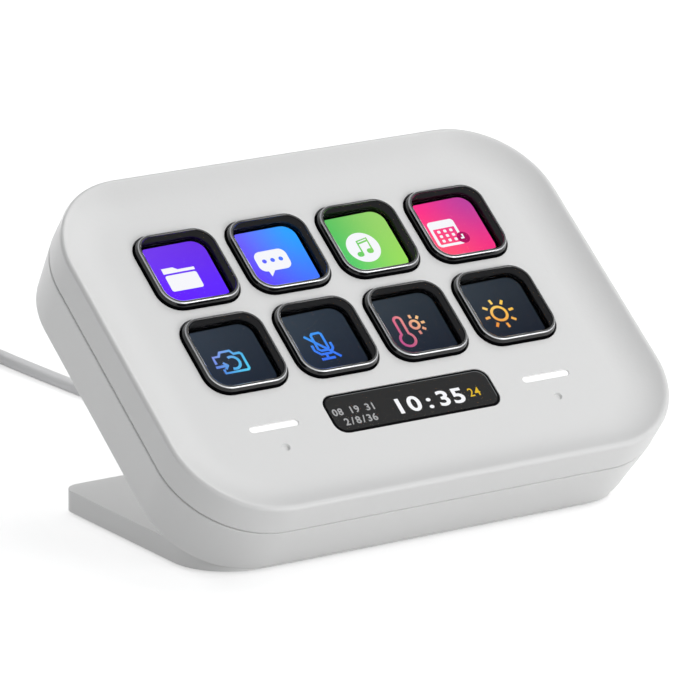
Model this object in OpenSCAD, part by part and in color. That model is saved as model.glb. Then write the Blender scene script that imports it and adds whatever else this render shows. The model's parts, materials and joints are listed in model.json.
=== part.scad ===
// Desk keypad with eight picture keys, a narrow display bar and two touch spots,
// on a bent foot, with a captive lead.
// Row frame: +X to the user's right, +Y away from the user, +Z up, Z = 0 on the desk.
// Face frame: u along X, v up the face, n out of the face, n = 0 on the flat of the face.

/* [Keys] */
// Side of a key at its foot
key_size = 17.2; // [16.6:0.1:17.8]
// Space between neighbouring keys, side by side
space_x = 2.55; // [2.4:0.05:3.5]
// Space between neighbouring keys, one above the other
space_y = 2.8; // [2.4:0.1:3.5]
// Corner radius of a key at its foot
key_corner = 4.3; // [4:0.1:4.6]
// Height of a key's rim over the face
key_proud = 1.3; // [1.1:0.1:1.6]
// How far a key's side draws in towards its rim
key_draw = 0.35; // [0.2:0.05:0.45]
// Width of a key's frame round its lens
key_rim = 0.95; // [0.8:0.05:1.1]
// Travel of a key
key_travel = 1; // [0.8:0.1:1.1]
// Gap between a key and its opening
key_gap = 0.3; // [0.2:0.05:0.35]
// Width of the flange that holds a key in
flange_w = 0.7; // [0.6:0.05:0.75]
// Thickness of that flange
flange_t = 0.9; // [0.7:0.1:1]

/* [Housing] */
// Margin beside the keys
side_margin = 14; // [13:0.5:18]
// Margin above the keys
top_margin = 11.5; // [11:0.5:15]
// Margin below the keys
bottom_margin = 26.5; // [26:0.5:30]
// Corner radius of the housing
corner_r = 18; // [17:0.5:19]
// Depth from the rim's edge to the back
body_d = 18; // [18:0.5:24]
// Depth from the rim's edge to the parting groove
part_d = 6.1; // [5.8:0.1:7]
// Wall of both shells
wall = 2; // [1.8:0.1:2.2]
// Thickness of the face
face_t = 1.4; // [1.2:0.1:1.6]
// Height of the rim's edge over the flat of the face
rim_h = 1.4; // [1:0.1:1.8]
// Rounding of the rim
rim_r = 0.8; // [0.6:0.1:1]
// Width of the dished band inside the rim
dish_w = 9.5; // [8.5:0.5:10]
// Taper of the rear shell's side
draft = 1.1; // [0.6:0.1:1.4]
// Rounding of the rear edge
rear_r = 0.6; // [0.4:0.1:0.8]
// Width of the parting groove
groove_w = 0.4; // [0.2:0.1:0.6]
// Depth of the parting groove
groove_d = 0.6; // [0.4:0.1:0.8]
// Lean of the face from level
tilt = 36.8; // [34:0.2:40]

/* [Display bar] */
// Width of the clear window
bar_w = 36.2; // [32:0.1:38]
// Height of the clear window
bar_h = 8.8; // [8:0.1:9.2]
// Corner radius of the clear window
bar_r = 2.5; // [2:0.1:3]
// Height of the window's middle above the housing's lower edge
bar_up = 19.7; // [19.5:0.1:20.2]
// Distance of a light slot from the middle
light_x = 29.75; // [28:0.25:31]
// Length of a light slot
light_w = 10.3; // [9:0.1:11]
// Height of a light slot
light_h = 1.4; // [1.2:0.1:1.8]
// Drop from a light slot to the dimple under it
dimple_drop = 4.9; // [4.5:0.1:5.5]
// Diameter of a dimple
dimple_d = 1.2; // [1:0.1:1.6]

/* [Foot] */
// Width of the foot
foot_w = 94; // [90:1:98]
// Length of the foot from the housing's rear edge backwards
foot_l = 50.6; // [44:0.2:54]
// Thickness of the foot
foot_t = 4.1; // [3.8:0.1:4.6]
// Corner radius at the front of the foot
foot_front_r = 11.5; // [8:0.5:13]
// Corner radius at the back of the foot
foot_back_r = 3.5; // [2:0.5:6]
// How far the rubber sole stands under the foot
sole_proud = 0.5; // [0.4:0.1:0.8]
// Gap between the housing's lowest edge and the desk
under_gap = 0.8; // [0.8:0.1:1.2]
// Width of the bracket behind the housing
bracket_w = 60; // [52:1:66]
// Thickness of the bracket
bracket_t = 4; // [3.6:0.1:4.6]
// Height of the bracket's top over the middle of the face
bracket_top = -1; // [-2:0.5:1]

/* [Lead] */
// Diameter of the lead
cord_d = 2.8; // [2.4:0.1:3.2]
// Height of the lead's exit over the middle of the face
exit_v = 10; // [9.5:0.5:12]
// Length of the strain relief
relief_l = 14; // [12:0.5:15]

/* [Inside] */
// Thickness of the picture panel
panel_t = 1.2; // [1:0.1:1.4]
// Margin of the picture panel round the keys
panel_margin = 1.2; // [1:0.1:1.3]
// Thickness of the panel's light box
backlight_t = 1.8; // [1.5:0.1:2]
// Thickness of the silicone mat
mat_t = 0.4; // [0.3:0.05:0.5]
// Thickness of the carrier's floor
carrier_t = 1; // [0.8:0.1:1.2]
// Thickness of the circuit board
board_t = 1.6; // [1.2:0.1:1.6]
// Space between the circuit board and the housing's sides
board_side = 13.5; // [13:0.5:15.5]
// Space between the circuit board and the housing's upper and lower ends
board_end = 6; // [5.5:0.5:6.5]
// Radius of a shell screw's shank
screw_r = 1; // [0.9:0.05:1.1]
// Clearance between pieces that slide or drop in
clear = 0.15; // [0.1:0.05:0.2]

/* [Hidden] */
$fn = 48;
columns = 4;
rows = 2;
pitch_x = key_size + space_x;
pitch_y = key_size + space_y;
field_w = columns * pitch_x;
field_h = rows * pitch_y;
body_w = field_w + 2 * side_margin;
body_h = field_h + top_margin + bottom_margin;
grid_v = body_h / 2 - top_margin - field_h / 2;
bar_v = bar_up - body_h / 2;
board_w = body_w - 2 * board_side;
board_h = body_h - 2 * board_end;

// Heights along n, from the face backwards
crest_n = rim_h + rim_r;
part_n = rim_h - part_d;
back_n = rim_h - body_d;
floor_n = back_n + wall;
under_n = -face_t;
rest_gap = 0.1;
flange_n = under_n - rest_gap;
skirt_n = flange_n - flange_t;
mat_top_n = skirt_n - key_travel - 0.05;
panel_n = mat_top_n - mat_t;
backlight_n = panel_n - panel_t;
carrier_n = backlight_n - backlight_t;
carrier_back_n = carrier_n - carrier_t;
post_h = 0.6;
board_n = carrier_back_n - post_h;
board_back_n = board_n - board_t;

// Keys
flange_size = key_size + 2 * flange_w;
well_size = flange_size + 2 * 0.2;
lens_size = key_size - 2 * key_rim;
lens_gap = 0.05;
rim_chamfer = 0.2;

// Display bar
window_gap = 0.1;
window_flange = 1.2;
window_t = 0.6;
info_t = 1.2;
info_n = under_n - window_t;
info_back_n = info_n - info_t;
pad_t = 0.3;
light_flange = 1.1;
light_flange_t = 0.8;
light_recess = 0.3;
led_t = 0.7;

// Bosses, posts and screws
boss_r = 2.8;
boss_in = 9.2;
boss_u = body_w / 2 - boss_in;
boss_v = body_h / 2 - boss_in;
boss_n = part_n - 4.4;
rear_boss_r = 3.2;
head_r = 2;
head_h = 1.3;
head_sink = 4.5;
shell_screw_l = 8;
post_r = 1.8;
post_u = board_w / 2 - 4;
post_v = board_h / 2 - 1.8;
board_screw_l = 5;
stand_screw_u = 20;
stand_screw_drop = 8;
stand_screw_step = 12;
stand_screw_v = [bracket_top - stand_screw_drop, bracket_top - stand_screw_drop - stand_screw_step];
stand_head_h = 1.5;
stand_seat_h = 0.6;
stand_screw_l = wall + bracket_t - 0.8;

// Hooks of the front shell, at its lower edge
hook_u = 24;
hook_w = 8;
hook_t = 1.2;
hook_reach = 4.3;
barb = 0.7;
hook_v = clear - (body_h / 2 - wall - draft * hook_reach / (part_n - back_n));
tongue_h = 1.2;
tongue_t = 0.9;

// Dish of the face: an arc from the flat up to the rim's crest
rim_land = 0.2;
dish_run = dish_w - rim_r - rim_land;
dish_r = (dish_run * dish_run + crest_n * crest_n) / (2 * crest_n);
// Height of the band's underside, at distance x from a corner's centre
function under_at(x) = dish_r - sqrt(pow(dish_r + face_t, 2) - pow(x - corner_r + dish_w, 2));

// Where the face sits over the desk, and the housing's reach to front and back
rear_v = body_h / 2 - draft - rear_r;
rear_n = back_n + rear_r;
function to_y(v, n) = v * cos(tilt) - n * sin(tilt);
function to_z(v, n) = v * sin(tilt) + n * cos(tilt);
reach_front = to_y(rim_r - body_h / 2, rim_h) - rim_r;
reach_back = to_y(rear_v, rear_n) + rear_r;
face_y = -(reach_front + reach_back) / 2;
face_z = under_gap + rear_r - to_z(-rear_v, rear_n);
edge_y = face_y + to_y(-rear_v - rear_r, back_n);
foot_z = sole_proud;
foot_top = sole_proud + foot_t;
sole_t = 0.9;
sole_in = 3;
weight_l = 24;
weight_w = 70;
weight_t = 1.8;

// Route of the lead, from the strain relief's end along the desk to the coil
cord_r = cord_d / 2;
lay_z = cord_r;
relief_end = [0, face_y + to_y(exit_v, back_n - relief_l), face_z + to_z(exit_v, back_n - relief_l)];
run = [
  [0, 25.2, 14.3], [0, 28.1, 10.6], [0, 31.4, 7], [-0.1, 35.2, 4.2], [-0.4, 40, 2.4],
  [-0.9, 46, lay_z], [-1.7, 54, lay_z], [-2.7, 63, lay_z], [-3.8, 72, lay_z], [-4.7, 81, lay_z],
  [-5.5, 90, lay_z], [-6.1, 99, lay_z], [-6.6, 108, lay_z], [-6.9, 117, lay_z], [-7, 126, lay_z],
  [-7, 134, lay_z], [-7, 142, lay_z]
];
route = concat([relief_end], run);
turn_r = 16.8;
turn_columns = 3;
turn_layers = 4;
coil_w = turn_columns * cord_d;
coil_h = turn_layers * cord_d;
coil_x = run[len(run) - 1][0] - turn_r - (coil_w - cord_d) / 2;
coil_y = run[len(run) - 1][1];
tail_x = coil_x - turn_r - (coil_w - cord_d) / 2;
plug_w = 10.6;
plug_h = 6;
plug_z = plug_h / 2;
tail = [
  [tail_x, coil_y, coil_h - cord_r], [tail_x, coil_y - 6, coil_h - cord_r - 0.4], [tail_x, coil_y - 12, 8],
  [tail_x, coil_y - 18, 6], [tail_x, coil_y - 24, 4.2], [tail_x, coil_y - 30, 3.2], [tail_x, coil_y - 34, plug_z]
];
plug_l = 22;
contact_w = 8.3;
contact_h = 2.5;
contact_l = 6.6;

// ---- Helpers ----

// Places its children, drawn in the face frame, on the leaning face
module on_face() {
  translate([0, face_y, face_z]) rotate([tilt, 0, 0]) children();
}

// A prism drawn from height low to height high
module layer(low, high) {
  translate([0, 0, low]) linear_extrude(high - low) children();
}

// Rectangle with round corners
module round_rect(w, h, r) {
  square([w, h - 2 * r], center = true);
  square([w - 2 * r, h], center = true);
  for (x = [-1, 1], y = [-1, 1])
    translate([x * (w / 2 - r), y * (h / 2 - r)]) circle(r = r);
}

// Carries a profile round a rectangle with round corners; the profile's x counts from a corner's centre
module around(w, h, r) {
  for (q = [0 : 3])
    rotate(90 * q) {
      across = q % 2 == 0 ? w : h;
      along = q % 2 == 0 ? h : w;
      translate([across / 2 - r, along / 2 - r, 0]) {
        rotate_extrude(angle = 90) children();
        rotate([90, 0, 0]) linear_extrude(along - 2 * r) children();
      }
    }
}

// Puts its children at the centre of key i, counted along the upper row first
module at_key(i) {
  translate([
    (i % columns - (columns - 1) / 2) * pitch_x,
    grid_v + ((rows - 1) / 2 - floor(i / columns)) * pitch_y,
    0
  ]) children();
}

module at_every_key() {
  for (i = [0 : columns * rows - 1]) at_key(i) children();
}

// The housing's screw bosses stand in its upper corners
module at_bosses() {
  for (side = [-1, 1]) translate([side * boss_u, boss_v, 0]) children();
}

module at_posts() {
  for (x = [-1, 1], y = [-1, 1]) translate([x * post_u, y * post_v, 0]) children();
}

module at_stand_screws() {
  for (side = [-1, 1], v = stand_screw_v) translate([side * stand_screw_u, v, 0]) children();
}

// ---- Housing ----

// Section through the front shell's band, from the flat of the face out to the side wall
module band_profile() {
  start = corner_r - dish_w;
  difference() {
    translate([start, part_n]) square([dish_w, crest_n - part_n]);
    translate([start, dish_r]) circle(r = dish_r, $fn = 96);
    difference() {
      translate([start - 1, part_n - 1]) square([dish_w - wall + 1, crest_n - part_n]);
      translate([start, dish_r]) circle(r = dish_r + face_t, $fn = 96);
    }
    difference() {
      translate([corner_r - rim_r, rim_h]) square(rim_r + 1);
      translate([corner_r - rim_r, rim_h]) circle(r = rim_r);
    }
    translate([corner_r - groove_d, part_n - 1]) square([groove_d + 1, 1 + groove_w / 2]);
  }
}

// A hook that snaps behind the rear shell's lower wall
module hook() {
  root_n = under_at(corner_r - wall) + face_t / 4;
  barb_n = part_n - hook_reach + 1.2;
  tip_n = part_n - hook_reach - 0.4;
  translate([-hook_w / 2, 0, 0]) rotate([90, 0, 90]) linear_extrude(hook_w)
    polygon([
      [hook_v + hook_t, root_n],
      [hook_v, root_n],
      [hook_v, barb_n],
      [hook_v - barb, barb_n],
      [hook_v, tip_n],
      [hook_v + hook_t, tip_n]
    ]);
}

module front_shell() color("white") on_face() {
  difference() {
    union() {
      around(body_w, body_h, corner_r) band_profile();
      layer(under_n, 0) round_rect(body_w - 2 * dish_w, body_h - 2 * dish_w, corner_r - dish_w);
      at_bosses() translate([0, 0, boss_n]) cylinder(r = boss_r, h = -face_t * 0.1 - boss_n);
      at_posts() translate([0, 0, carrier_n]) cylinder(r = post_r, h = under_n + 0.2 - carrier_n);
      for (side = [-1, 1]) translate([side * hook_u, 0, 0]) hook();
    }
    at_every_key() layer(under_n - 1, 1)
      round_rect(key_size + 2 * key_gap, key_size + 2 * key_gap, key_corner + key_gap);
    translate([0, bar_v, 0]) layer(under_n - 1, 1) round_rect(bar_w, bar_h, bar_r);
    for (side = [-1, 1]) translate([side * light_x, bar_v, 0]) {
      layer(under_n - 1, 1) round_rect(light_w, light_h, light_h / 2 - 0.01);
      translate([0, -dimple_drop, -0.5]) cylinder(d = dimple_d, h = 1.5);
    }
    at_bosses() translate([0, 0, boss_n - 1]) cylinder(r = screw_r + 0.05, h = 6.4);
    at_posts() translate([0, 0, carrier_n - 1]) cylinder(r = screw_r + 0.05, h = 1 + board_screw_l);
  }
}

// Section through the rear shell's side, from a corner's centre outwards
module rear_profile(inset, low) {
  top = corner_r - inset;
  foot = top - draft * (part_n - low) / (part_n - back_n);
  polygon([[0, low], [foot, low], [top, part_n], [0, part_n]]);
}

// The drafted block that the rear shell is cut from
module rear_block() {
  round_x = corner_r - draft - rear_r;
  around(body_w, body_h, corner_r) difference() {
    rear_profile(0, back_n);
    difference() {
      translate([round_x, back_n - 1]) square([rear_r + 2, rear_r + 1]);
      translate([round_x, back_n + rear_r]) circle(r = rear_r);
    }
  }
  layer(back_n, part_n) square([body_w - 2 * corner_r, body_h - 2 * corner_r], center = true);
}

module rear_hollow() {
  around(body_w, body_h, corner_r) rear_profile(wall, floor_n);
  layer(floor_n, part_n) square([body_w - 2 * corner_r, body_h - 2 * corner_r], center = true);
}

module rear_shell() color("whitesmoke") on_face() difference() {
  union() {
    difference() {
      rear_block();
      rear_hollow();
    }
    around(body_w, body_h, corner_r)
      translate([corner_r - wall - clear - tongue_t, part_n - 1.5]) square([tongue_t, tongue_h + 1.5]);
    around(body_w, body_h, corner_r)
      translate([corner_r - wall - clear - tongue_t, part_n - 2.5]) square([tongue_t + 0.6, 1.8]);
    at_bosses() translate([0, 0, back_n]) cylinder(r = rear_boss_r, h = boss_n - 0.05 - back_n);
    at_stand_screws() translate([0, 0, back_n]) cylinder(r = rear_boss_r, h = wall + stand_seat_h);
  }
  around(body_w, body_h, corner_r)
    translate([corner_r - groove_d, part_n - groove_w / 2]) square([groove_d + 1, groove_w]);
  for (side = [-1, 1]) translate([side * hook_u, 0, 0]) {
    translate([0, hook_v, part_n - hook_reach / 2 + 1])
      cube([hook_w + 1, 2 * clear, hook_reach + 5], center = true);
    translate([0, hook_v + 1.2, part_n]) cube([hook_w + 1, 2.4 + 2 * clear, 6], center = true);
    translate([0, hook_v, part_n - hook_reach + 0.4])
      cube([hook_w + 1, 2 * (barb + clear), 2], center = true);
  }
  at_bosses() {
    translate([0, 0, back_n - 1]) cylinder(r = screw_r + 0.15, h = body_d);
    translate([0, 0, back_n - 1]) cylinder(r = head_r + 0.15, h = 1 + head_sink);
  }
  at_stand_screws() translate([0, 0, back_n - 1]) cylinder(r = screw_r + 0.3, h = wall + 3);
  translate([0, exit_v, back_n - 1]) cylinder(r = relief_neck_r + 0.05, h = wall + 2);
}

// ---- Keys ----

module key_frame(i) color([0.08, 0.08, 0.09]) on_face() at_key(i) {
  centre = key_size / 2 - key_corner;
  hole = lens_size / 2 + lens_gap - centre;
  rim = key_corner - key_draw;
  around(key_size, key_size, key_corner)
    polygon([
      [hole, skirt_n],
      [key_corner + flange_w, skirt_n],
      [key_corner + flange_w, flange_n],
      [key_corner, flange_n],
      [key_corner, 0],
      [rim, key_proud - rim_chamfer],
      [rim - rim_chamfer, key_proud],
      [hole, key_proud]
    ]);
}

module key_lens(i) color([0.7, 0.75, 0.8, 0.5]) on_face() at_key(i)
  layer(skirt_n - 0.1, key_proud - 0.1)
    round_rect(lens_size, lens_size, lens_size / 2 - (key_size / 2 - key_corner));

// ---- Key mechanism and display ----

module boss_clearance(low, high) {
  at_bosses() translate([0, 0, low]) cylinder(r = boss_r + 2 * clear, h = high - low);
}

module key_guide() color([0.15, 0.15, 0.16]) on_face() difference() {
  translate([0, grid_v, 0]) layer(mat_top_n, under_n)
    round_rect(field_w + 2, field_h + 2, 4);
  at_every_key() layer(mat_top_n - 1, under_n + 1)
    round_rect(well_size, well_size, key_corner + flange_w + 0.2);
  boss_clearance(mat_top_n - 1, under_n + 1);
}

// Sheet with a window and a spring dome ring for each key
module dome_mat() color([0.55, 0.56, 0.58]) on_face() {
  ring_out = key_size - 0.2;
  ring_in = lens_size + 0.6;
  difference() {
    union() {
      translate([0, grid_v, 0]) layer(panel_n, mat_top_n) round_rect(field_w + 2, field_h + 2, 4);
      at_every_key() layer(panel_n, skirt_n - 0.02) round_rect(ring_out, ring_out, 4.2);
    }
    at_every_key() layer(panel_n - 1, skirt_n + 1) round_rect(ring_in, ring_in, 3.7);
    boss_clearance(panel_n - 1, mat_top_n + 1);
  }
}

panel_w = field_w + 2 * panel_margin;
panel_h = field_h + 2 * panel_margin;

module display_panel() color([0.1, 0.12, 0.18]) on_face() translate([0, grid_v, 0])
  layer(backlight_n, panel_n) square([panel_w, panel_h], center = true);

module display_backlight() color([0.85, 0.85, 0.8]) on_face() translate([0, grid_v, 0])
  layer(carrier_n, backlight_n) square([panel_w, panel_h], center = true);

// Tray behind the panel, with a platform for the bar's display and slots for ribbons and light guides
module display_carrier() color([0.25, 0.26, 0.28]) on_face() difference() {
  union() {
    layer(carrier_back_n, carrier_n) round_rect(board_w, board_h, 2);
    translate([0, grid_v, 0])
      layer(carrier_back_n, panel_n) round_rect(panel_w + 2.4, panel_h + 2.4, 1.5);
    translate([0, bar_v, 0]) layer(carrier_n, info_back_n) square([bar_w - 2, bar_h - 2.6], center = true);
    at_posts() translate([0, 0, board_n]) cylinder(r = post_r + 0.6, h = post_h + 0.2);
  }
  translate([0, grid_v, 0]) layer(carrier_n, panel_n + 1)
    square([panel_w + clear, panel_h + clear], center = true);
  boss_clearance(board_n - 1, panel_n + 1);
  at_posts() translate([0, 0, board_n - 1]) cylinder(r = screw_r + 0.15, h = 9);
  translate([0, grid_v + panel_h / 2 + 1.6, 0]) layer(board_n - 1, panel_n + 1)
    square([display_ribbon_w + 2, 4], center = true);
  translate([0, info_ribbon_v, 0]) layer(board_n - 1, panel_n + 1)
    square([info_ribbon_w + 1, 1.6], center = true);
  for (side = [-1, 1]) translate([side * light_x, bar_v, 0]) layer(board_n - 1, carrier_n + 1)
    square([light_w + 2 * clear, light_h + 2 * clear], center = true);
}

module info_window() color([0.3, 0.32, 0.35, 0.6]) on_face() translate([0, bar_v, 0]) {
  layer(under_n, 0)
    round_rect(bar_w - 2 * window_gap, bar_h - 2 * window_gap, bar_r - window_gap);
  layer(info_n, under_n)
    round_rect(bar_w + 2 * window_flange, bar_h + 2 * window_flange, bar_r + window_flange);
}

module info_display() color([0.08, 0.08, 0.1]) on_face() translate([0, bar_v, 0])
  layer(info_back_n, info_n) square([bar_w + 1.4, bar_h + 1.4], center = true);

module light_bar(side) color([0.95, 0.97, 1]) on_face() translate([side * light_x, bar_v, 0]) {
  layer(board_n + led_t + 0.1, -light_recess)
    round_rect(light_w - 2 * window_gap, light_h - 2 * window_gap, (light_h - 2 * window_gap) / 2 - 0.01);
  layer(under_n - pad_t - light_flange_t, under_n - pad_t)
    round_rect(light_w + 2 * light_flange, light_h + 2 * light_flange, 1);
}

module touch_pad(side) color([0.8, 0.55, 0.2]) on_face() difference() {
  translate([side * light_x, bar_v - 2.4, 0]) layer(under_n - pad_t, under_n) round_rect(14, 11, 2);
  translate([side * light_x, bar_v, 0]) layer(under_n - 1, under_n + 1)
    square([light_w + 2 * clear, light_h + 2 * clear], center = true);
}

// ---- Electronics ----

module main_board() color([0.05, 0.35, 0.2]) on_face() difference() {
  layer(board_back_n, board_n) round_rect(board_w, board_h, 2);
  at_posts() translate([0, 0, board_back_n - 1]) cylinder(r = screw_r + 0.15, h = board_t + 2);
  at_bosses() translate([0, 0, board_back_n - 1]) cylinder(r = rear_boss_r + 2 * clear, h = board_t + 2);
}

processor_w = 10;
memory_w = 8;
memory_h = 6;
driver_w = 7;
supply_w = 5;
inductor_w = 4;
inductor_h = 3;
inductor_t = 1.8;
chip_t = 1.1;
resistor_w = 1.6;
resistor_h = 0.8;
resistor_step = 4;

// Places a chip of size w by h by t on the back of the board, at shares of the board's half sides
module chip(across, up, w, h, t) {
  translate([across * board_w / 2, up * board_h / 2, 0])
    layer(board_back_n - t, board_back_n) square([w, h], center = true);
}

// Five resistors in a row
module resistors(across, up) {
  for (i = [-2 : 2]) translate([i * resistor_step, 0, 0])
    chip(across, up, resistor_w, resistor_h, resistor_h);
}

module board_chips() color([0.12, 0.12, 0.12]) on_face() {
  chip(-0.45, -0.25, processor_w, processor_w, chip_t);
  chip(-0.45, 0.25, memory_w, memory_h, chip_t);
  chip(0.4, -0.5, supply_w, supply_w, chip_t);
  chip(0.6, -0.5, inductor_w, inductor_h, inductor_t);
  chip(0.6, 0.2, driver_w, driver_w, chip_t);
  resistors(-0.5, -0.72);
  resistors(0.5, 0.68);
}

module board_leds() color([1, 1, 0.9]) on_face()
  for (side = [-1, 1]) translate([side * light_x, bar_v, 0])
    layer(board_n, board_n + led_t) square([light_w - 2, light_h - 0.4], center = true);

bundle_r = 0.9;
bend_r = 2.2;
relief_flange_r = 4.5;
relief_flange_t = 1;
relief_neck_r = 3.2;
relief_tip_r = cord_r + 0.4;
relief_rings = 5;
relief_ring_step = 2.2;
relief_ring_w = 0.8;
relief_ring_depth = 0.45;
socket_v = exit_v - bend_r - 8;
bundle_n = floor_n + relief_flange_t + bend_r;

module lead_socket() color([0.9, 0.88, 0.8]) on_face()
  translate([0, socket_v, 0]) layer(bundle_n - 1.4, board_back_n) square([9, 5], center = true);

// The lead's wires, from the strain relief's inner face to the socket
module inner_lead() color([0.6, 0.1, 0.1]) on_face() {
  translate([0, exit_v - bend_r, floor_n + relief_flange_t]) rotate([90, 0, 90])
    rotate_extrude(angle = 90) translate([bend_r, 0]) circle(r = bundle_r);
  translate([0, exit_v - bend_r, bundle_n]) rotate([90, 0, 0])
    cylinder(r = bundle_r, h = exit_v - bend_r - socket_v - 2.5);
}

module lead_clamp() color([0.2, 0.2, 0.22]) on_face() difference() {
  translate([0, socket_v + 5.2, 0]) layer(bundle_n - 1.5, board_back_n) square([6, 2.4], center = true);
  translate([0, socket_v + 8, bundle_n]) rotate([90, 0, 0]) cylinder(r = bundle_r + 0.05, h = 6);
}

display_ribbon_w = 20;
info_ribbon_w = 10;
ribbon_t = 0.2;
ribbon_bow = 1;
ribbon_land = 6;
info_ribbon_v = bar_v - bar_h / 2 - 1.4;

// A flat ribbon with its section drawn as v across and n up
module ribbon(width) {
  translate([-width / 2, 0, 0]) rotate([90, 0, 90]) linear_extrude(width) children();
}

module display_ribbon() color([0.85, 0.5, 0.1]) on_face() ribbon(display_ribbon_w) {
  edge = grid_v + panel_h / 2;
  out = edge + ribbon_bow;
  start_n = backlight_n + panel_t / 2;
  translate([edge, start_n]) square([ribbon_bow, ribbon_t]);
  translate([out - ribbon_t, board_n]) square([ribbon_t, start_n + ribbon_t - board_n]);
  translate([out - ribbon_land, board_n]) square([ribbon_land, ribbon_t]);
}

module info_ribbon() color([0.85, 0.5, 0.1]) on_face() ribbon(info_ribbon_w) {
  edge = bar_v - (bar_h + 1.4) / 2;
  out = info_ribbon_v - ribbon_t / 2;
  start_n = info_back_n + info_t / 4;
  translate([out, start_n]) square([edge - out, ribbon_t]);
  translate([out, board_n]) square([ribbon_t, start_n + ribbon_t - board_n]);
  translate([out, board_n]) square([ribbon_land, ribbon_t]);
}

// ---- Fasteners ----

// A screw whose head rests on n = 0 and whose shank runs towards +n
module screw(length, head) {
  cylinder(r = screw_r, h = length);
  translate([0, 0, -head]) cylinder(r = head_r, h = head);
}

module shell_screws() color("silver") on_face()
  at_bosses() translate([0, 0, back_n + head_sink]) screw(shell_screw_l, head_h);

module board_screws() color("silver") on_face()
  at_posts() translate([0, 0, board_back_n]) screw(board_screw_l + board_t, head_h);

module stand_screws() color("silver") on_face()
  at_stand_screws() translate([0, 0, floor_n + stand_seat_h]) mirror([0, 0, 1]) screw(stand_screw_l, stand_head_h);

// ---- Foot ----

// Outline of the foot, from above: large radii in front, small ones behind
module foot_outline(inset) {
  w = foot_w - 2 * inset;
  l = foot_l - 2 * inset;
  fr = foot_front_r - inset;
  br = max(foot_back_r - inset, 0.5);
  translate([0, inset]) {
    for (side = [-1, 1]) {
      translate([side * (w / 2 - fr), fr]) circle(r = fr);
      translate([side * (w / 2 - br), l - br]) circle(r = br);
    }
    translate([fr - w / 2, 0]) square([w - 2 * fr, l]);
    translate([-w / 2, fr]) square([w, l - fr - br]);
    translate([br - w / 2, l / 2]) square([w - 2 * br, l / 2]);
  }
}

module stand() color("white") difference() {
  union() {
    translate([0, edge_y, foot_z]) linear_extrude(foot_t) foot_outline(0);
    on_face() layer(back_n - bracket_t, back_n) {
      translate([0, (bracket_top - body_h / 2) / 2 - 3])
        round_rect(bracket_w, bracket_top + body_h / 2 - 6, 6);
      translate([-bracket_w / 2, -body_h / 2]) square([bracket_w, body_h / 3]);
    }
    for (x = [-1, 0, 1]) translate([x * (bracket_w / 2 - 4) - 1, 0, 0]) rib();
  }
  on_face() translate([-foot_w, -body_h, back_n]) cube([2 * foot_w, 2 * body_h, body_d]);
  translate([-foot_w, edge_y - body_h / 2, foot_z - 30]) cube([2 * foot_w, 2 * body_h, 30]);
  translate([0, edge_y, foot_z - 1]) linear_extrude(1 + sole_t - sole_proud) foot_outline(sole_in);
  translate([-weight_w / 2 - clear, weight_y - clear, foot_z])
    cube([weight_w + 2 * clear, weight_l + 2 * clear, sole_t - sole_proud + weight_t]);
  on_face() at_stand_screws() translate([0, 0, floor_n + stand_seat_h - stand_screw_l - 0.2])
    cylinder(r = screw_r + 0.05, h = stand_screw_l);
}
weight_y = edge_y + 14;

// A web between the bracket and the foot
module rib() {
  root_y = edge_y + 8;
  rotate([90, 0, 90]) linear_extrude(2)
    polygon([
      [root_y, foot_top - 1],
      [root_y + 16, foot_top - 1],
      [root_y + 16, foot_top],
      [face_y + to_y(bracket_top - 10, back_n - 1), face_z + to_z(bracket_top - 10, back_n - 1)],
      [face_y + to_y(-body_h / 4, back_n - 1), face_z + to_z(-body_h / 4, back_n - 1)]
    ]);
}

module foot_weight() color("silver")
  translate([-weight_w / 2, weight_y, sole_t]) cube([weight_w, weight_l, weight_t]);

module foot_sole() color([0.2, 0.2, 0.2])
  translate([0, edge_y, 0]) linear_extrude(sole_t) foot_outline(sole_in + clear);

// ---- Lead ----

// Radius of the strain relief's cone at height n
function relief_at(n) = relief_tip_r + (relief_neck_r - 0.3 - relief_tip_r) * (n - back_n + relief_l) / relief_l;

module strain_relief() color("white") on_face() translate([0, exit_v, 0]) difference() {
  union() {
    translate([0, 0, floor_n]) cylinder(r = relief_flange_r, h = relief_flange_t);
    translate([0, 0, back_n - 0.4]) cylinder(r = relief_neck_r, h = wall + 0.4 + relief_flange_t);
    translate([0, 0, back_n - relief_l])
      cylinder(r1 = relief_tip_r, r2 = relief_at(back_n), h = relief_l);
  }
  for (i = [1 : relief_rings]) relief_ring(back_n - relief_ring_step * i);
}

// A flexing groove round the cone
module relief_ring(low) {
  translate([0, 0, low]) difference() {
    cylinder(r = relief_neck_r + 1, h = relief_ring_w);
    translate([0, 0, -1]) cylinder(r = relief_at(low) - relief_ring_depth, h = relief_ring_w + 2);
  }
}

// A tube of even diameter swept along a list of points
sides = 8;
function unit(a) = a / norm(a);
function heading(p, i) = unit(p[min(i + 1, len(p) - 1)] - p[max(i - 1, 0)]);
function ring(p, i) =
  let (t = heading(p, i), a = unit(cross(t, abs(t[2]) > 0.7 ? [1, 0, 0] : [0, 0, 1])), b = cross(t, a))
  [for (k = [0 : sides - 1]) p[i] + cord_r * (cos(360 * k / sides) * a + sin(360 * k / sides) * b)];
module tube(p) {
  last = len(p) - 1;
  polyhedron(
    points = [for (i = [0 : last], q = ring(p, i)) q],
    faces = concat(
      [[for (k = [0 : sides - 1]) k]],
      [for (i = [0 : last - 1], k = [0 : sides - 1])
        [i * sides + k, (i + 1) * sides + k, (i + 1) * sides + (k + 1) % sides, i * sides + (k + 1) % sides]],
      [[for (k = [sides - 1 : -1 : 0]) last * sides + k]]
    )
  );
}

module cord() color("white") tube(route);

module cord_coil() color("white") translate([coil_x, coil_y, 0])
  rotate_extrude() translate([turn_r - coil_w / 2, 0]) square([coil_w, coil_h]);

module cord_tail() color("white") tube(tail);

plug_at = tail[len(tail) - 1];

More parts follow.
